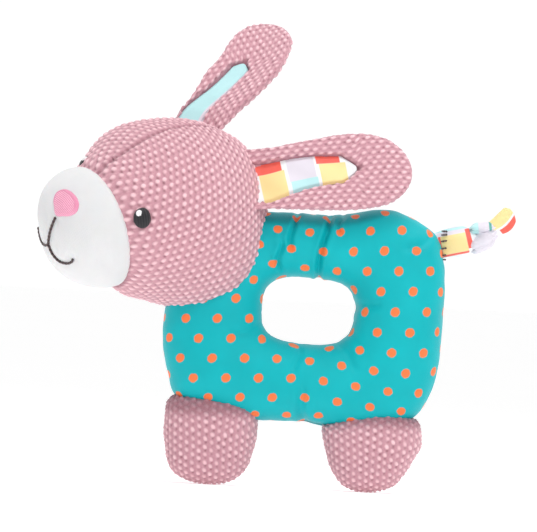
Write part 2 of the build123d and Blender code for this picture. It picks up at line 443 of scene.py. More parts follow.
def satin_material(name, blocks, ground=satin_white):
    """Printed satin: each block is (colour, first and last along, first and last across)."""
    shader = Shader(name, Roughness=0.38, Sheen_Weight=0.2, Sheen_Roughness=0.3)
    along, across = shader.cloth()
    base = ground
    for paint, near, far, low, high in blocks:
        inside = shader.maths("MULTIPLY", shader.between(along, near, far), shader.between(across, low, high))
        base = shader.mix(inside, base, paint)
    shade = shader.noise(220.0, 3.0)
    base = shader.mix(shader.maths("MULTIPLY", shade, 0.12), base, colour(180, 176, 186))
    normal = shader.bump(shader.wave(across, 0.3), 0.00004, 0.5)
    normal = shader.bump(shade, 0.0005, 0.25, before=normal)
    return shader.finish(base, normal)


def thread_material(name, light, dark, roughness=0.55):
    """Embroidery: a painted highlight on the crest of each thread and painted shade between threads."""
    shader = Shader(name, Roughness=roughness, Sheen_Weight=0.15, Sheen_Roughness=0.5)
    relief = shader.value("relief")
    fibres = shader.noise(2600.0, 2.0)
    base = shader.mix(shader.step(relief, 0.45, 0.45), dark, light)
    normal = shader.bump(fibres, 0.0002, 0.4)
    return shader.finish(base, normal)


def plastic_material(name, light, dark, roughness):
    shader = Shader(name, Roughness=roughness)
    position = shader.node("ShaderNodeNewGeometry").outputs["Position"]
    cloud = shader.noise(300.0, 3.0, vector=position)
    base = shader.mix(cloud, light, dark)
    normal = shader.bump(shader.noise(1500.0, 2.0, vector=position), 0.00003, 0.3)
    return shader.finish(base, normal)


pink_knit = knit_material()
white_jersey = jersey_material()
ring_fabric = ring_material()


def soft(piece, body, replaced, bend=None):
    """Attaches a stuffed cover to its body and hides the parts it replaces; if bend is given, it bakes the cover's
    transform instead. bend is (body, start, end) of a bend from another body; its parts are not used.
    """
    if bend:
        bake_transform(piece)
    else:
        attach(piece, body)
    if replaced:
        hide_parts(*replaced)


# ---- head covers
seam_lean = radians(8.8)  # the muzzle seam leans towards the chin
seam_way = (cos(seam_lean), 0.0, -sin(seam_lean))  # its normal, along nose, left and crown
cheek_angle = np.arcsin((head_radius - muzzle_radius) / muzzle_reach)
seam_groove = 2.1  # depth of the cheek's edge where it meets the muzzle
panel_overlap = 2.2  # the head panels go on this far past the seam, under the muzzle's cover
knit_turn = radians(14.4)  # of the columns of stitches on the head panels
crown_seam_turn = radians(9.5)  # of the seam between the panels, over to the animal's right at the crown
head_swells = (  # fuller places of the stuffed ball, in the toy's axes: direction, height and spread
    (unit([0.7, -0.1, -0.7]), 4.0, radians(34)),
    (unit([-0.71, -0.1, 0.71]), 3.5, radians(23)),
    (unit([0.72, -0.1, 0.68]), 1.7, radians(20)),
    (unit([-0.25, -0.1, -0.96]), -1.0, radians(22)),
)
muzzle_swells = (
    (unit([-0.79, -0.1, 0.6]), 2.9, radians(30)),
    (unit([-0.42, -0.1, -0.9]), 0.3, radians(30)),
)


def head_surface(forward):
    """Distance from the head's centre to the smooth cover, by how far a direction goes along the nose."""
    past_cheek = np.arccos(np.clip(forward, -1, 1)) - (pi / 2 - cheek_angle)
    return np.where(past_cheek > 0, head_radius, head_radius / np.cos(np.clip(past_cheek, -1.2, 0)))


def head_panel(name, side_sign, node):
    """Half of the knitted ball, sewn to the other half over the crown and under the chin."""
    count = 322
    radius, angle = round_grid(count)
    polar = 2 * np.arcsin(radius / sqrt(2))
    up = np.sin(polar) * np.sin(angle)
    forward = np.sin(polar) * np.cos(angle)
    side = np.cos(polar) * side_sign
    side, up = turned(side, up, -crown_seam_turn)
    spot = np.stack([forward, side, up], -1) * head_surface(forward)[..., None]
    spot += head_shaping(spot)

    past_seam = (spot - muzzle_middle) @ np.array(seam_way)
    inward = seam_groove * smooth(-7, 0, past_seam) ** 1.5 + 2.5 * smooth(0, 2.0, past_seam)
    from_axis = unit(spot * [0, 1, 1] + 1e-9)
    spot -= from_axis * inward[..., None]

    flat = radius * sqrt(2) * head_radius
    flat_a, flat_b = flat * np.cos(angle), flat * np.sin(angle)
    relief, pit = knit_relief(*turned(flat_a, flat_b, knit_turn))
    from_middle_seam = sqrt(2) * head_radius - flat
    seam = smooth(0.1, 1.1, from_middle_seam)
    relief *= 0.5 + 0.5 * seam
    # painted shade in the stitch holes along the middle seam and in the groove at the muzzle's seam
    holes = 0.35 + 0.65 * np.sin(angle * head_radius * 1.35) ** 2
    pit = np.maximum(pit, holes * (1 - smooth(0.3, 1.1, from_middle_seam)))
    pit = np.maximum(pit, 0.8 * smooth(-1.2, 0.4, past_seam))

    normal = facing_normals(spot, spot[count // 2, count // 2])
    height = stitch_height * relief - stitch_height * 0.6 - 0.5 * (1 - seam)
    spot = spot + normal * height[..., None]
    points = from_head(spot)
    faces = grid_faces(points)
    keep = (past_seam.ravel()[faces] < panel_overlap).all(axis=1)
    piece = make_piece(name, points, faces[keep], pink_knit, flip=side_sign < 0, relief=relief, pit=pit)
    soft(piece, "head", node)


def swollen(out, swells):
    """Height of the fuller places, for directions along nose, left and crown."""
    total = 0
    for way, rise, spread in swells:
        way = np.array([way @ nose_way, way @ left_way, way @ crown_way])
        total = total + rise * np.exp(-((np.arccos(np.clip(out @ way, -1, 1)) / spread) ** 2))
    return total


def head_shaping(spot):
    """Lumps and hollows of the stuffed ball: eye hollows, a fuller cheek and a fuller forehead."""
    shift = np.zeros(spot.shape)
    out = unit(spot)
    for side in (-1, 1):
        eye = np.array([28.2, side * 21.3, 17.1])
        near = np.linalg.norm(spot - eye * 0.96, axis=-1)
        shift -= out * (0.9 * np.exp(-((near / 5.5) ** 2)))[..., None]
    x, y, z = spot[..., 0], spot[..., 1], spot[..., 2]
    lumps = 0.35 * np.sin(x / 6.1 + 1) * np.sin(y / 7.3) * np.sin(z / 6.7 + 2) + swollen(out, head_swells)
    return shift + out * lumps[..., None]


head_panel("head_cover_left", 1, ["head_panel_left", "head_filling"])
head_panel("head_cover_right", -1, ["head_panel_right"])


# ---- muzzle
def muzzle_point(tilt, turn, radius):
    """A point on the muzzle from its angle off the seam's normal and round it, along the head's axes."""
    ahead = radius * np.cos(tilt)
    side = radius * np.sin(tilt) * np.cos(turn)
    up = radius * np.sin(tilt) * np.sin(turn)
    forward, crown = turned(ahead, up, seam_lean)
    return np.stack([muzzle_reach + forward, side, crown], -1)


muzzle_wrap = radians(99)  # how far round the cover goes, from the seam's normal
face_shift = 0.85  # the nose and mouth are sewn this far to the animal's left of the middle


def mouth_distance(spot):
    """Distance on the muzzle to the stitched mouth, in the plane across the nose."""
    side, up = spot[..., 1] - face_shift, spot[..., 2]
    away = np.where((up > -2.7) & (up < 9), abs(side), 99.0)
    smile = [np.hypot(abs(side) - a, up - b) for a, b in zip(*smile_points(30))]
    return np.minimum(away, np.min(smile, axis=0))


def smile_points(count):
    """One half of the smile, from the middle outwards, across the nose and up."""
    at = np.linspace(0, 5, count)
    across = smooth_line([0, 2.6, 5.8, 9.2, 11.3, 11.9], at)
    return across, smooth_line([-2.9, -5.9, -7.2, -6.4, -4.6, -2.8], at)


def muzzle_height(spot):
    """How far the cover stands off its ball: a groove at the mouth and fuller places."""
    groove = np.exp(-((mouth_distance(spot) / 2.2) ** 2)) * (spot[..., 0] > muzzle_reach)
    out = unit(spot - muzzle_middle)
    return swollen(out, muzzle_swells) * smooth(-0.25, 0.35, out[..., 0]) - 0.55 * groove


def make_muzzle():
    """The white cover over the muzzle, tucked in behind the cheeks."""
    tilt, turn = rows_and_turns(np.linspace(0.0, muzzle_wrap, 120), 190)
    past = np.degrees(tilt) - 88
    radius = muzzle_radius + 0.5 * smooth(60, 84, np.degrees(tilt)) - 2.3 * smooth(0, 10, past)
    spot = muzzle_point(tilt, turn, radius)
    spot += unit(spot - muzzle_middle) * muzzle_height(spot)[..., None]
    points = from_head(spot)
    reach = tilt * muzzle_radius
    cloth = on_cloth(reach * np.cos(turn), reach * np.sin(turn))
    faces = grid_faces(points, wrap_columns=True)
    piece = make_piece("muzzle_cover_soft", points, faces, white_jersey, cloth=cloth)
    soft(piece, "head", ["muzzle_cover"])


make_muzzle()


# ---- threads of the face
def tube(path, radius, around, twist, up):
    """Points, faces and relief of a thread of two plies along a path, with its ends drawn together."""
    ahead = unit(np.gradient(path, axis=0))
    side = unit(np.cross(ahead, up))
    over = np.cross(side, ahead)
    length = length_along(path)
    ends = smooth(-0.01, 0.4, length) * smooth(-0.01, 0.4, length[-1] - length)
    length, turn = rows_and_turns(length, around)
    ply = np.cos(2 * (turn - twist * length))
    reach = radius * np.sqrt(np.clip(ends, 0.01, 1))[:, None] * (1 + 0.16 * ply)
    points = path[:, None] + (reach * np.cos(turn))[..., None] * side[:, None]
    points = points + (reach * np.sin(turn))[..., None] * over[:, None]
    return points, grid_faces(points, wrap_columns=True), 0.5 + 0.5 * ply


def joined(parts):
    """Several sets of points, faces and values as one."""
    points, faces, values, start = [], [], [], 0
    for spot, face, value in parts:
        points.append(spot.reshape(-1, 3))
        faces.append(face + start)
        values.append(value.reshape(len(points[-1]), -1))
        start += len(points[-1])
    return np.vstack(points), np.vstack(faces), np.vstack(values)


def on_muzzle(side, up, lift):
    """A point over the muzzle's cover, from its place across the nose's direction."""
    side, up = np.asarray(side, float) + face_shift, np.asarray(up, float)
    ahead = np.sqrt(np.clip(muzzle_radius**2 - side**2 - up**2, 0, None))
    out = unit(np.stack([ahead, side, up], -1))
    spot = out * (muzzle_radius + lift + swollen(out, muzzle_swells))[..., None]
    return from_head(spot + muzzle_middle)


# each thread's lighter colour is its painted highlight and its darker colour its painted shade
brown_thread = thread_material("brown_thread", colour(98, 80, 80), colour(52, 40, 42))
pink_thread = thread_material("pink_thread", colour(250, 190, 212), colour(226, 140, 172), 0.45)
black_thread = thread_material("black_thread", colour(52, 52, 56), colour(14, 14, 16), 0.4)
white_thread = thread_material("white_thread", colour(255, 255, 255), colour(225, 225, 228), 0.45)


def thread_rows(across, pitch):
    """Height 0..1 of threads that lie side by side."""
    return 0.5 + 0.5 * np.cos(2 * pi * across / pitch)


def embroidered(piece, node):
    """Attaches a piece of the face's embroidery to the head and hides the part it replaces."""
    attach(piece, "head")
    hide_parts(node)


def make_mouth():
    """A twisted thread down from the nose that parts into two upward curves."""
    sink = -0.15
    across, up = smile_points(60)
    paths = [on_muzzle(np.zeros(40), np.linspace(9.0, -3.0, 40), sink)]
    paths += [on_muzzle(across, up, sink), on_muzzle(-across, up * 0.7 - 0.9, sink)]
    parts = [tube(path, 0.45, 16, 2 * pi / 3.2, -nose_way) for path in paths]
    points, faces, relief = joined(parts)
    piece = make_piece("mouth_thread", points, faces, brown_thread, flip=True, relief=relief)
    embroidered(piece, "mouth_stitching")


make_mouth()


nose_lift = radians(39.5)  # the nose's middle, up from the nose's direction


def nose_outline(turn):
    """Distance from the nose's middle to its edge: flat on top and pointed below."""
    corners = [(0, -5.8), (3.0, -4.1), (5.8, -1.7), (6.6, 0.9), (5.1, 3.5), (2.4, 4.7), (0, 4.9)]
    corners += [(-a, b) for a, b in corners[1:-1]]
    edge = closed_curve(corners, turn)
    return np.linalg.norm(edge, axis=-1)


def make_nose():
    """Satin stitch over a rounded triangle, with a darker border along its top."""
    radius, turn = round_grid(130)
    reach = nose_outline(turn)
    across, along = radius * reach * np.cos(turn), radius * reach * np.sin(turn)
    side = muzzle_radius * np.sin(across / muzzle_radius) + face_shift
    tilt = nose_lift + along / muzzle_radius
    ahead = muzzle_radius * np.cos(across / muzzle_radius)
    threads = thread_rows(along + 0.12 * abs(across), 0.62)
    border = 0.35 + 0.65 * smooth(-2.5, 1.0, along - 0.3 * across)
    border = (1 - smooth(1.3, 1.8, (1 - radius) * reach)) * border
    edge_threads = thread_rows(across * 1.1 + along * 0.4, 0.6)
    threads = threads * (1 - border) + edge_threads * border
    dome = np.sqrt(np.clip(1 - radius**3, 0, 1))
    lift = -0.5 + 1.5 * dome + 0.22 * threads * dome + 0.25 * border * dome
    spot = np.stack([ahead * np.cos(tilt), side, ahead * np.sin(tilt)], -1)
    spot += unit(spot) * (lift + swollen(unit(spot), muzzle_swells))[..., None]
    points = from_head(spot + muzzle_middle)
    # a lower relief at the border moves it towards the thread's painted shade colour
    relief = threads * (1 - 0.75 * border)
    piece = make_piece("nose_patch", points, grid_faces(points), pink_thread, relief=relief)
    embroidered(piece, "nose_embroidery")


make_nose()


def on_cheek(spot, lift):
    """Head points moved onto the cover and lifted off it."""
    out = unit(spot)
    return out * (head_surface(out[..., 0]) + lift)[..., None]


def make_eye(name, sign):
    """An oval of black satin stitch with a white glint in its upper part."""
    middle = np.array([28.0, sign * 21.5, 16.2])
    out = unit(middle)
    ahead = unit(np.array([1.0, 0, 0]) - out * out[0])
    up = np.cross(out, ahead) * -sign
    ahead, up = turned(ahead, up, radians(7) * sign)
    spots = (  # piece, node, slot, material, half width and height, middle ahead and up, base, rise, grid
        ("eye_patch", "eye", "black_thread", black_thread, 3.1, 4.0, 0.0, 0.0, 0.0, 1.15, 90),
        ("glint_patch", "eye_glint", "white_thread", white_thread, 1.15, 1.3, 0.7, 1.85, 0.95, 0.45, 40),
    )
    for piece, node, slot, material, half_width, half_height, a, b, base, rise, count in spots:
        radius, turn = round_grid(count)
        across = radius * half_width * np.cos(turn)
        along = radius * half_height * np.sin(turn)
        dome = np.sqrt(np.clip(1 - radius**2.5, 0, 1))
        threads = thread_rows(across + 0.15 * along, 0.55)
        lift = base - 0.35 + (rise + 0.35) * dome + 0.14 * threads * dome
        flat = middle + (across + a)[..., None] * ahead + (along + b)[..., None] * up
        points = from_head(on_cheek(flat, lift))
        faces = grid_faces(points)
        piece = make_piece(f"{piece}_{name}", points, faces, material, flip=sign > 0, relief=threads)
        embroidered(piece, f"{node}_{name}")


make_eye("left", 1)
make_eye("right", -1)


# ---- ears
ear_hinge_from_root = 4.5
ear_root_half_width = 12.6
ear_thickness = 3.4  # from the flat middle to the lined face
ear_hollow = 2.3  # depth of the place for the lining
lining_length = 37.2
ear_in_head = 6.0  # length of the cover from the root back into the head
ear_bend = 11  # length of the soft part from the root
lining_in_head = 3.0
lining_tuck = 0.7  # of each of the lining's edges under the knitted rim
# band is the lining's half width, band_middle its middle at root and tip, and point the length of its end.
# slimmer and tucked make the ear narrower, and sway moves its middle, at even steps from root to tip.
ears = {
    "left": SimpleNamespace(
        length=58.0, curl=42.0, droop=1.0, lift=1.5,
        band=7.3, band_middle=(-1.6, 1.6), point=5.5,
        slimmer=0.0, tucked=0.0, sway=(0, 0, 0, 0, 0, 0),
    ),
    "right": SimpleNamespace(
        length=61.7, curl=19.0, droop=3.0, lift=0.0,
        band=4.4, band_middle=(5.0, 3.7), point=2.4,
        slimmer=1.9, tucked=3.0, sway=(2.0, 1.2, -2.6, -5.0, -4.1, -2.0),
    ),
}


def ear_half_width(along, across, ear):
    """Half of the ear's width: narrow at its root, widest past its middle, round at its tip."""
    wide = ear_root_half_width + 3.2 * smooth(0, 36, along) - ear.slimmer * smooth(10, 38, along)
    wide = wide - ear.tucked * (across > 0) * (1 - smooth(14, 30, along))
    return wide * np.sqrt(np.clip(1 - np.clip((along - ear.length + 23) / 23, 0, 1) ** 2.5, 0, 1))


def lining_edge(along, ear):
    """Half of the lining's width: a band that ends in a point."""
    narrowing = np.clip((lining_length - along) / ear.point, 0, 1) ** 0.75
    return ear.band * (1 - 0.33 * smooth(0, 34, along)) * narrowing


def lining_middle(along, ear):
    """The band runs a little across the ear."""
    first, last = ear.band_middle
    return first + (last - first) * smooth(0, 24, along)


def ear_face(along, across, ear):
    """Height of the ear's lined face before the lining's hollow is pressed in."""
    half = np.maximum(ear_half_width(along, across, ear), 1e-3)
    share = np.clip(abs(across) / half, 0, 1)
    thick = ear_thickness * (0.35 + 0.65 * smooth(0, 12, along)) * smooth(-0.5, 10, ear.length - along) ** 0.4
    return thick * np.sqrt(np.clip(1 - share**2.6, 0, 1))


def make_ear(name, along_way, lined_way, satin):
    """The knitted cover of one ear and the satin lining in its hollow."""
    ear = ears[name]
    along_way = unit(along_way)
    lined_way = unit(np.array(lined_way) - along_way * np.dot(along_way, unit(lined_way)))
    width_way = np.cross(lined_way, along_way)
    hinge = spot_of(joints[f"ear_{name}_flop"])
    root = hinge - along_way * ear_hinge_from_root + [0, 0, ear.lift]
    bend_end = root + ear_bend * along_way

    def placed(along, across, height):
        """The flat ear rolled up round its length, with its tip bent back, on the head."""
        angle = across / ear.curl
        at = np.clip(along / ear.length, 0, 1) * (len(ear.sway) - 1)
        y = (ear.curl - height) * np.sin(angle) + smooth_line(ear.sway, at)
        z = ear.curl - (ear.curl - height) * np.cos(angle) - ear.droop * (along / ear.length) ** 2
        return root + np.stack([along, y, z], -1) @ np.array([along_way, width_way, lined_way])

    columns = 236
    from_tip = (1 - np.linspace(0, 1, 240)) ** 1.12
    along, turn = rows_and_turns(ear.length - (ear.length + ear_in_head) * from_tip, columns)
    width = ear_half_width(along, np.cos(turn), ear)
    across = width * np.cos(turn)
    front = np.sin(turn) >= 0
    height = ear_face(along, across, ear)
    from_band = abs(across - lining_middle(along, ear)) - lining_edge(along, ear)
    hollow = ear_hollow * (1 - smooth(0.1, 2.2, from_band)) * (1 - smooth(37, 41, along))
    height = np.where(front, height - hollow, -height)
    smooth_points = placed(along, across, height)
    normal = grid_normals(smooth_points, wrap_columns=True)

    step = np.linalg.norm(np.diff(smooth_points, axis=1, append=smooth_points[:, :1]), axis=-1)
    around = np.cumsum(step, axis=1) - step
    half = around[:, columns // 2][:, None]
    total = step.sum(axis=1)[:, None]
    cloth_across = np.where(front, around - half / 2, around - (half + total) / 2)
    relief, pit = knit_relief(1.2 * cloth_across + 50, 0.88 * along + 7)
    from_seam = np.minimum.reduce([around, abs(around - half), total - around])
    relief *= 0.55 + 0.45 * smooth(0, 1.4, from_seam)
    # painted shade in the crease round the lining's hollow, where the lowered relief also darkens the colour
    crease = front * smooth(0.5, 2.3, hollow)
    pit = np.maximum(pit, 0.9 * crease)
    relief *= 1 - 0.6 * crease
    out = (relief - 0.55) * stitch_height * 0.95 * smooth(0, 2.5, ear.length - along)
    points = smooth_points - normal * out[..., None]
    faces = grid_faces(points, wrap_columns=True)
    cover = make_piece(f"ear_{name}_cover", points, faces, pink_knit, flip=True, relief=relief, pit=pit)
    replaced = [f"ear_{name}_knit", f"ear_{name}_wadding"]
    soft(cover, f"ear_{name}", replaced, ("head", root, bend_end))

    lengthwise = np.linspace(-lining_in_head, lining_length, 150)
    along, share = np.meshgrid(lengthwise, np.linspace(-1, 1, 40), indexing="ij")
    from_middle = share * (lining_edge(along, ear) + lining_tuck)
    across = lining_middle(along, ear) + from_middle
    height = ear_face(along, across, ear) - 1.4 - 0.8 * smooth(0.8, 1.0, abs(share))
    height += 0.25 * np.sin(along / 3.1 + across / 2.3) * (1 - share**2)
    points = placed(along, across, height)
    cloth = on_cloth(along + 0.1 * from_middle, from_middle)
    lining = make_piece(f"ear_{name}_lining_satin", points, grid_faces(points), satin, cloth=cloth)
    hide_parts(f"ear_{name}_lining")
    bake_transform(lining)


near_ear_satin = satin_material(
    "near_ear_satin",
    [
        (satin_yellow, 0.9, 10.4, -9, 3.6),
        (satin_red, -4, 9.6, 3.6, 9),
        (satin_lilac, 11.6, 21.8, -2.4, 9),
        (satin_aqua, 12.0, 22.2, -9, -2.4),
        (satin_yellow, 23.4, 33.4, -9, 2.9),
        (satin_red, 22.6, 31.5, 2.9, 9),
    ],
)
far_ear_satin = satin_material("far_ear_satin", [(satin_lilac, -4, 39, -9, -3.2)], satin_aqua)

make_ear("left", (0.99, 0.065, 0.125), (0.014, -0.919, 0.391), near_ear_satin)
make_ear("right", (0.38, 0.55, 0.74), (-0.247, -0.663, 0.707), far_ear_satin)


# ---- ring
ring_half_thickness = 16.0
hole_half_length = 17.5
hole_half_height = 12.4
hole_squareness = 2.9
hole_lift = 0.6  # of the visible hole above the middle of the gripping space
print_give = (0.6, 0.7)  # share of the cloth's extra length that moves its print, at the hole and outside
hidden_depth = 3.5  # the ring's cover ends where it is this deep in the head
ring_outline = [  # from the hole's centre, once round
    (50.7, 0), (50.2, 20), (45.9, 32), (28, 39.6), (8, 36.8), (-9.5, 37), (-30, 33.5),
    (-50.5, 22), (-53.3, 0), (-53.9, -14.5), (-51, -26), (-47, -34.6), (-35, -37.6), (-20, -41.1),
    (1.4, -41.2), (16, -43), (36.7, -40.2), (45.7, -32.5), (50.2, -16),
]
creases = [  # ends along X and Z from the hole's centre, depth and half width
    ((-11.3, 15.5), (-11.6, 25.5), 1.2, 0.9),
    ((-7.4, 23.0), (-6.6, 37.0), 1.3, 0.9),
    ((3.4, 13.5), (6.0, 37.0), 1.7, 1.0),
    ((10.4, 31.0), (10.8, 37.5), 0.8, 0.8),
    ((0.8, -41.0), (-1.5, -29.0), 1.2, 1.5),
    ((17.0, 2.0), (26.0, 5.0), 0.7, 1.6),
    ((-18.0, -6.0), (-27.0, -10.0), 0.7, 1.7),
    ((12.0, -11.0), (19.0, -20.0), 0.6, 1.6),
    ((44.0, 30.0), (36.0, 25.0), 0.9, 1.5),
    ((-2.5, -13.0), (-3.5, -22.0), 0.6, 1.3),
]


def even_profile(first, second, count):
    """A profile read off at equal steps along its length."""
    length = length_along(np.stack([first, second], -1))
    at = np.linspace(0, length[-1], count)
    return np.interp(at, length, first), np.interp(at, length, second)


def crease_depth(x, z):
    """How far the cloth is drawn in along the gathered creases."""
    depth = np.zeros(x.shape)
    for start, end, deep, width in creases:
        start, end = np.array(start), np.array(end)
        way = end - start
        share = ((x - start[0]) * way[0] + (z - start[1]) * way[1]) / (way @ way)
        inside = smooth(-0.25, 0.15, share) * (1 - smooth(0.85, 1.25, share))
        bend = 0.8 * np.sin(share * 5.0)
        off = ((x - start[0]) * way[1] - (z - start[1]) * way[0]) / np.sqrt(way @ way) + bend
        ridges = 0.28 * np.exp(-(((abs(off) - 2.1 * width) / (1.2 * width)) ** 2))
        fold = np.exp(-((off / width) ** 2)) - ridges
        depth += deep * fold * inside
    return depth


def make_ring_cover(name, side_sign, replaced):
    """One half of the stuffed ring, from the seam in the hole to the seam round the outside."""
    rows, columns = 620, 84
    turn = np.linspace(0, 2 * pi, rows, endpoint=False)
    hole = 1 / ((abs(np.cos(turn)) / hole_half_length) ** hole_squareness
                + (abs(np.sin(turn)) / hole_half_height) ** hole_squareness) ** (1 / hole_squareness)
    inner = np.stack([hole * np.cos(turn), hole * np.sin(turn) + hole_lift], -1)
    outer = closed_curve(ring_outline, turn)
    angle = np.linspace(0, pi, 400)
    share, rise = even_profile((1 - np.cos(angle)) / 2, 0.95 * np.sin(angle) ** 0.72 / 2, columns)
    rise = rise / rise.max()
    flat = inner[:, None] + (outer - inner)[:, None] * share[None, :, None]
    x, z = flat[..., 0], flat[..., 1]
    puff = 1 + 0.03 * np.sin(3 * turn + 1)[:, None]
    depth = ring_half_thickness * puff * rise[None, :]

    section = np.stack([np.linalg.norm(outer - inner, axis=1)[:, None] * share[None, :], depth], -1)
    step = np.linalg.norm(np.diff(section, axis=1), axis=-1)
    around = np.concatenate([np.zeros((rows, 1)), np.cumsum(step, axis=1)], axis=1)
    middle = columns // 2
    excess = (around - around[:, middle:middle + 1]) - (section[..., 0] - section[:, middle:middle + 1, 0])
    excess = np.where(share[None, :] < share[middle], *print_give) * excess
    outward = unit(outer - inner)
    unit_across = np.stack([outward[:, 0], 0 * turn, outward[:, 1]], -1)
    cloth = flat + outward[:, None] * excess[..., None]

    y = side_sign * depth
    points = hole_centre + np.stack([x, y, z], -1)
    normal = facing_normals(points, (0, side_sign, 0), wrap_rows=True)
    normal[:, 0], normal[:, -1] = -unit_across, unit_across
    inner_seam = around
    outer_seam = around[:, -1:] - around
    own = smooth(0, 8, np.minimum(inner_seam, outer_seam)) if side_sign > 0 else 0
    sunk = crease_depth(x, z) * (1 - own) + crease_depth(0.9 * x + 3.0, z) * own
    for seam, spread, puckers in ((inner_seam, 5.5, (31, 0.12, 5)), (outer_seam, 5.0, (47, 0.4, 9))):
        pulled = np.exp(-((seam - 2) / spread) ** 2) * smooth(0, 2, seam)
        sunk += gathers(turn, *puckers)[:, None] * pulled + 0.75 * np.exp(-(seam**2))
    sunk -= 0.45 * np.sin(x / 8.3 + 0.7) * np.sin(z / 7.1 + side_sign)
    sunk -= 0.2 * np.sin(x / 3.9) * np.sin(z / 4.7)
    fade = smooth(0, 3, np.minimum(inner_seam, outer_seam))
    away = normal * (sunk * (0.35 + 0.65 * fade))[..., None]
    points = points - away

    tilted_a, tilted_b = turned(cloth[..., 0], cloth[..., 1], dot_tilt)
    fan = 1 + 0.035 * smooth(-5, 46, tilted_a)
    slant = (0.13 - 0.04 * smooth(0, 30, tilted_a)) * (tilted_b + 20)
    drawn_up = 0.8 + 5.2 * smooth(-24, 24, tilted_a + 0.6 * tilted_b)
    printed_a = tilted_a - slant - dot_start[0]
    printed_b = tilted_b / fan + drawn_up - dot_start[1]

    faces = grid_faces(points, wrap_rows=True)
    inside_head = np.linalg.norm(points - head_centre, axis=-1).ravel() < head_radius - hidden_depth
    faces = faces[~inside_head[faces].all(axis=1)]
    cloth = on_cloth(printed_a, printed_b)
    piece = make_piece(name, points, faces, ring_fabric, flip=side_sign > 0, cloth=cloth)
    soft(piece, "ring", replaced)


def gathers(turn, count, depth, seed):
    """Small uneven puckers along a seam."""
    draw = np.random.default_rng(seed)
    places = (np.arange(count) + draw.uniform(-0.35, 0.35, count)) * 2 * pi / count
    widths = draw.uniform(0.025, 0.06, count)
    depths = draw.uniform(0.2, 1.0, count) * depth
    total = np.zeros(len(turn))
    for place, width, deep in zip(places, widths, depths):
        away = (turn - place + pi) % (2 * pi) - pi
        total += deep * np.exp(-((away / width) ** 2))
    return total


make_ring_cover("ring_cover_front", -1, ["body_panel_front", "body_filling"])
make_ring_cover("ring_cover_back", 1, ["body_panel_back"])


# ---- feet
foot_half_width = 14.5
foot_reach = 16  # of the section from the middle to the seam, before the outline stretches it
foot_stitch_height = stitch_height * 1.05
foot_seam_span = 26  # of cloth from the middle to the seam
foot_bend = ([0, 0, -12], [0, 0, -26])  # start and end of the soft part, from its joint
foot_outlines = {  # from the middle of each foot, which is this far above the sole's mount
    "front_foot": (16.2, [(17.2, 4), (15.6, -5), (13.4, -10.4), (8.6, -14.4), (0, -16.2), (-8.5, -14.8),
                          (-14.4, -10.8), (-16.8, -3), (-17.6, 6), (-15.6, 16), (0, 19), (15.5, 16)]),
    "rear_foot": (15.0, [(18.6, 4), (16.0, -1.8), (12.8, -7.4), (8.4, -12.4), (-1.5, -15), (-9.6, -13.0),
                         (-14.8, -6.6), (-17.8, 2.6), (-18.2, 10), (0, 17), (16.2, 13)]),
}


def make_foot(name, sole):
    """Two knitted panels sewn round their edge and stuffed."""
    lift, outline = foot_outlines[name]
    middle = spot_of(mounts[sole]) + [0, 0, lift]
    middle[1] = hole_centre[1]
    hinge = spot_of(joints[f"{name}_flex"])
    angle = np.linspace(0, pi / 2, 300)
    section = foot_reach * np.sin(angle) ** 0.62, foot_half_width * np.cos(angle) ** 0.75
    profile_reach, profile_rise = even_profile(*section, 200)
    even = np.linspace(0, 1, 200)
    for panel, sign in (("near", -1), ("far", 1)):
        radius, turn = round_grid(170)
        edge = closed_curve(outline, turn)
        reach = np.interp(radius, even, profile_reach / foot_reach)
        rise = np.interp(radius, even, profile_rise)
        x, z = reach * edge[..., 0], reach * edge[..., 1]
        points = middle + np.stack([x, sign * rise, z], -1)
        normal = facing_normals(points, (0, sign, 0))
        length = np.linalg.norm(edge, axis=-1)
        over = radius * (13 + 0.75 * length)
        flat = over * 0.6 + reach * length * 0.4
        across, along = flat * np.cos(turn), flat * np.sin(turn)
        relief, pit = knit_relief(across + 40, along + 11 * sign, 0.92)
        from_seam = (1 - radius) * foot_seam_span
        relief *= 0.5 + 0.5 * smooth(0.1, 1.6, from_seam)
        # painted shade along the seam
        pit = np.maximum(pit, 0.7 * (1 - smooth(0.2, 1.2, from_seam)))
        pit = np.maximum(pit, 0.8 * smooth(7.5, 12.5, z))  # painted shade under the ring
        height = foot_stitch_height * (relief - 0.5) - 0.5 * (1 - smooth(0, 1.4, from_seam))
        points = points + normal * height[..., None]
        points[..., 2] = np.maximum(points[..., 2], 0.0)
        values = {"relief": relief, "pit": pit}
        faces = grid_faces(points)
        cover = make_piece(f"{name}_cover_{panel}", points, faces, pink_knit, flip=sign > 0, **values)
        replaced = [f"{name}_panel_{panel}"] + ([f"{name}_filling"] if panel == "near" else [])
        soft(cover, name, replaced, ("ring", hinge + foot_bend[0], hinge + foot_bend[1]))


make_foot("front_foot", "front_sole")
make_foot("rear_foot", "rear_sole")


def tail_path(points, count):
    """A smooth path through points given from the tail's root."""
    points = np.asarray(points, float)
    at = np.linspace(0, len(points) - 1, count)
    return tail_root + np.stack([smooth_line(points[:, axis], at) for axis in range(3)], -1)


tail_satin = satin_material(
    "tail_satin",
    [
        (satin_lilac, 0, 30, 3.2, 12),
        (satin_yellow, 3.2, 13.0, -4.2, 3.2),
        (satin_red, 2.0, 3.2, -12, 3.2),
        (satin_red, 3.2, 13.0, -5.0, -4.2),
        (satin_red, 13.0, 15.2, -3.4, 4.4),
        (satin_aqua, 0, 30, 4.8, 5.8),
        (satin_aqua, 0, 30, -12, -5.6),
    ],
)
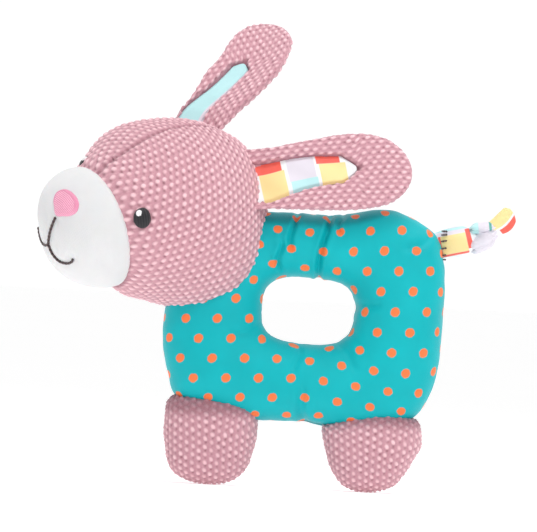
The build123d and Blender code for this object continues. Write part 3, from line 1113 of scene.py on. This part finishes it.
# the aqua satin in the knot's fold, darkened as painted shade
shaded_aqua_fold = colour(84, 176, 168)
knot_satin = satin_material(
    "knot_satin",
    [
        (satin_white, -9, 9, 3.4, 4.4),
        (satin_aqua, 14, 18.6, -9, 9),
        (shaded_aqua_fold, 22.6, 23.6, -1.2, 2.6),
    ],
    satin_lilac,
)
flare_blocks = [(satin_yellow, 1.0, 14, -0.7, 9), (satin_red, 2.6, 14, -9, -1.5)]
flare_satin = satin_material("flare_satin", flare_blocks)


def tail_piece(name, points, material, cloth, faces=None):
    """A piece of the stuffed or folded ribbon, whose points are a grid if no faces are given."""
    if faces is None:
        faces = grid_faces(points, wrap_columns=True)
    piece = make_piece(name, points, faces, material, flip=True, cloth=cloth)
    return piece


def make_tail():
    """The ribbon from the seam to the knot, the knot's two turns and the flared end."""
    rows = 110
    places = [(-9.0, 0, -1.0), (-5.5, 0, -0.2), (-1, 0, 0.9), (3.0, 0, 1.9), (6.5, 0, 3.0)]
    path = tail_path(places, rows)
    share = np.linspace(0, 4, rows)
    half_height = smooth_line([4.6, 5.2, 5.6, 4.9, 2.4], share)
    half_depth = smooth_line([3.0, 3.6, 4.2, 3.9, 2.4], share)
    ahead = unit(np.gradient(path, axis=0))
    over = unit(np.cross([0, 1, 0], ahead))
    length, turn = rows_and_turns(np.linspace(0, 17.5, rows), 96)
    folds = 1 + 0.05 * np.cos(5 * turn + 2) * np.linspace(0.2, 1.6, rows)[:, None]
    high = half_height[:, None] * np.sin(turn) * folds
    deep = half_depth[:, None] * np.cos(turn) * folds
    points = path[:, None] + high[..., None] * over[:, None] + deep[..., None] * np.array([0, 1, 0])
    cloth = on_cloth(length, -1.05 * high)
    puff = tail_piece("tail_puff", points, tail_satin, cloth)
    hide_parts("tail_ribbon")
    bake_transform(puff)

    lobes = (  # middle from the tail's root, half sizes along, up and deep, rise, place in the print
        ((9.0, 0.3, 2.5), (6.5, 4.0, 4.6), radians(44), 0.0),
        ((8.4, -0.6, 6.6), (4.9, 2.3, 4.5), radians(9), 20.0),
    )
    points, faces, cloth = joined([knot_lobe(*lobe) for lobe in lobes])
    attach(tail_piece("tail_knot", points, knot_satin, cloth, faces), "tail")

    share, turn = rows_and_turns(np.linspace(0, 1, 80), 100)
    root, tip = np.array([11.4, -1.0, 6.0]), np.array([19.3, -0.5, 13.6])
    ahead, aside = unit(tip - root), unit([0.42, 0.0, -0.9])
    aside = unit(aside - ahead * np.dot(aside, ahead))
    out = np.cross(ahead, aside)
    width = 2.6 + 1.3 * np.sin(0.9 * pi * share)
    width = width * np.sqrt(1 - 0.8 * smooth(0.8, 1.0, share) ** 2)
    thick = (1.5 - 0.5 * share) * (1 - 0.85 * smooth(0.95, 1.0, share))
    across = width * np.cos(turn)
    wave = 0.9 * np.sin(across / 1.7 + 1.2) * share
    bow = 1.1 * np.sin(pi * share)
    lengthwise = np.linalg.norm(tip - root) * share
    points = (
        tail_root + root + lengthwise[..., None] * ahead + (across + bow)[..., None] * aside
        + (thick * np.sin(turn) + wave)[..., None] * out
    )
    cloth = on_cloth(lengthwise, -across)
    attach(tail_piece("tail_flare", points, flare_satin, cloth), "tail")


def knot_lobe(middle, half_sizes, rise, print_start):
    """One turn of the knotted ribbon: points, faces and places in the print."""
    tilt, turn = rows_and_turns(np.linspace(0.02, pi - 0.02, 80), 110)
    folds = 1 + 0.05 * np.cos(4 * turn + 2 * np.cos(tilt)) + 0.05 * np.cos(6 * tilt + turn)
    folds = folds - 0.12 * np.exp(-(((turn - 3.9 + 0.6 * np.cos(tilt)) / 0.24) ** 2))
    lengthwise = half_sizes[0] * np.cos(tilt) * folds
    upward = half_sizes[1] * np.sin(tilt) * np.cos(turn) * folds
    deep = half_sizes[2] * np.sin(tilt) * np.sin(turn) * folds
    x, z = turned(lengthwise, upward, -rise)
    points = tail_root + middle + np.stack([x, deep, z], -1)
    cloth = on_cloth(lengthwise + print_start, upward + 0.4 * np.sin(lengthwise))
    return points, grid_faces(points, wrap_columns=True), cloth


def make_tail_stitches():
    """Dark sewing thread that holds the tail to the ring."""
    parts = []
    share = np.linspace(0, 1, 14)[:, None]
    for step in np.arange(6) - 2.5:
        near = tail_root + [-6.9, -4.3 * cos(0.35 * step), 5.6 * sin(0.5 * step) - 0.6]
        reach = np.array([2.4, 0.5, 0.5 * sin(pi / 2 + 0.62 * step)])
        path = near + share * reach - np.sin(pi * share) * [0, 0.35, 0]
        parts.append(tube(path, 0.32, 10, 3.0, (0, 1, 0)))
    points, faces, relief = joined(parts)
    piece = make_piece("tail_stitches", points, faces, brown_thread, flip=True, relief=relief)
    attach(piece, "ring")


make_tail()
make_tail_stitches()


# ---- hard parts inside the head
capsule_plastic = plastic_material("capsule_plastic", colour(244, 243, 238), colour(232, 230, 224), 0.4)
bead_plastic = plastic_material("bead_plastic", colour(226, 70, 48), colour(206, 52, 40), 0.25)
for node, piece in frame["nodes"].items():
    if node.startswith("rattle_"):
        piece.material_slots[0].material = bead_plastic if "bead" in node else capsule_plastic


# ---- floor, light and camera
def make_stage():
    shader = Shader("floor_white", Roughness=0.9, Emission_Color=(1, 1, 1, 1), Emission_Strength=floor_glow)
    position = shader.node("ShaderNodeNewGeometry").outputs["Position"]
    cloud = shader.noise(1.5, 2.0, vector=position)
    material = shader.finish(shader.mix(cloud, colour(236, 236, 236), colour(232, 232, 232)))
    bpy.ops.mesh.primitive_plane_add(size=40, location=(0, 14.0, 0))
    floor = bpy.context.object
    floor.name = "floor"
    floor.data.materials.append(material)


def make_sky():
    """A white studio: bright behind, above and around the toy, and softer on the side of the view."""
    world = bpy.data.worlds.new("studio")
    bpy.context.scene.world = world
    world.use_nodes = True
    tree = world.node_tree
    ways = tree.nodes.new("ShaderNodeTexCoord")
    parts = tree.nodes.new("ShaderNodeSeparateXYZ")
    tree.links.new(ways.outputs["Generated"], parts.inputs[0])
    ramp = tree.nodes.new("ShaderNodeMapRange")
    ramp.interpolation_type = "SMOOTHSTEP"
    tree.links.new(parts.outputs["Y"], ramp.inputs["Value"])
    levels = {"From Min": -0.35, "From Max": 0.35, "To Min": front_brightness, "To Max": back_brightness}
    for label, value in levels.items():
        ramp.inputs[label].default_value = value
    background = tree.nodes["Background"]
    background.inputs["Color"].default_value = (1, 1, 1, 1)
    tree.links.new(ramp.outputs["Result"], background.inputs["Strength"])


def area_light(name, place, target, size, power):
    data = bpy.data.lights.new(name, "AREA")
    data.shape = "DISK"
    data.size = size
    data.energy = power
    light = bpy.data.objects.new(name, data)
    light.location = place
    light.rotation_euler = (Vector(target) - Vector(place)).to_track_quat("-Z", "Y").to_euler()
    bpy.context.scene.collection.objects.link(light)


floor_glow = 0.41
front_brightness = 0.295
back_brightness = 1.04
make_stage()
make_sky()
middle = (0, 0, 0.08)
area_light("key", (0.55, -1.15, 1.15), middle, 0.6, 9.3)
area_light("fill", (-1.3, -0.9, 0.5), middle, 0.5, 1.8)
area_light("top", (0.1, -0.25, 1.5), middle, 0.7, 8.5)

picture_width_mm = 201.4
camera_distance_mm = 6000.0
sensor_mm = 36.0
roll = radians(2.97)  # the toy leans back a little in the view
aim = hole_centre + [-15.6, 0, 16.5]
data = bpy.data.cameras.new("camera")
data.sensor_width = sensor_mm
data.lens = sensor_mm * camera_distance_mm / picture_width_mm
data.clip_end = 50
camera = bpy.data.objects.new("camera", data)
right = Vector((cos(roll), 0, sin(roll)))
upward = Vector((-sin(roll), 0, cos(roll)))
turn = Matrix((right, upward, right.cross(upward))).transposed()
camera.matrix_world = Matrix.Translation(Vector((aim - [0, camera_distance_mm, 0]) * MM)) @ turn.to_4x4()
bpy.context.scene.collection.objects.link(camera)
bpy.context.scene.camera = camera
bpy.context.scene.view_settings.view_transform = "Standard"
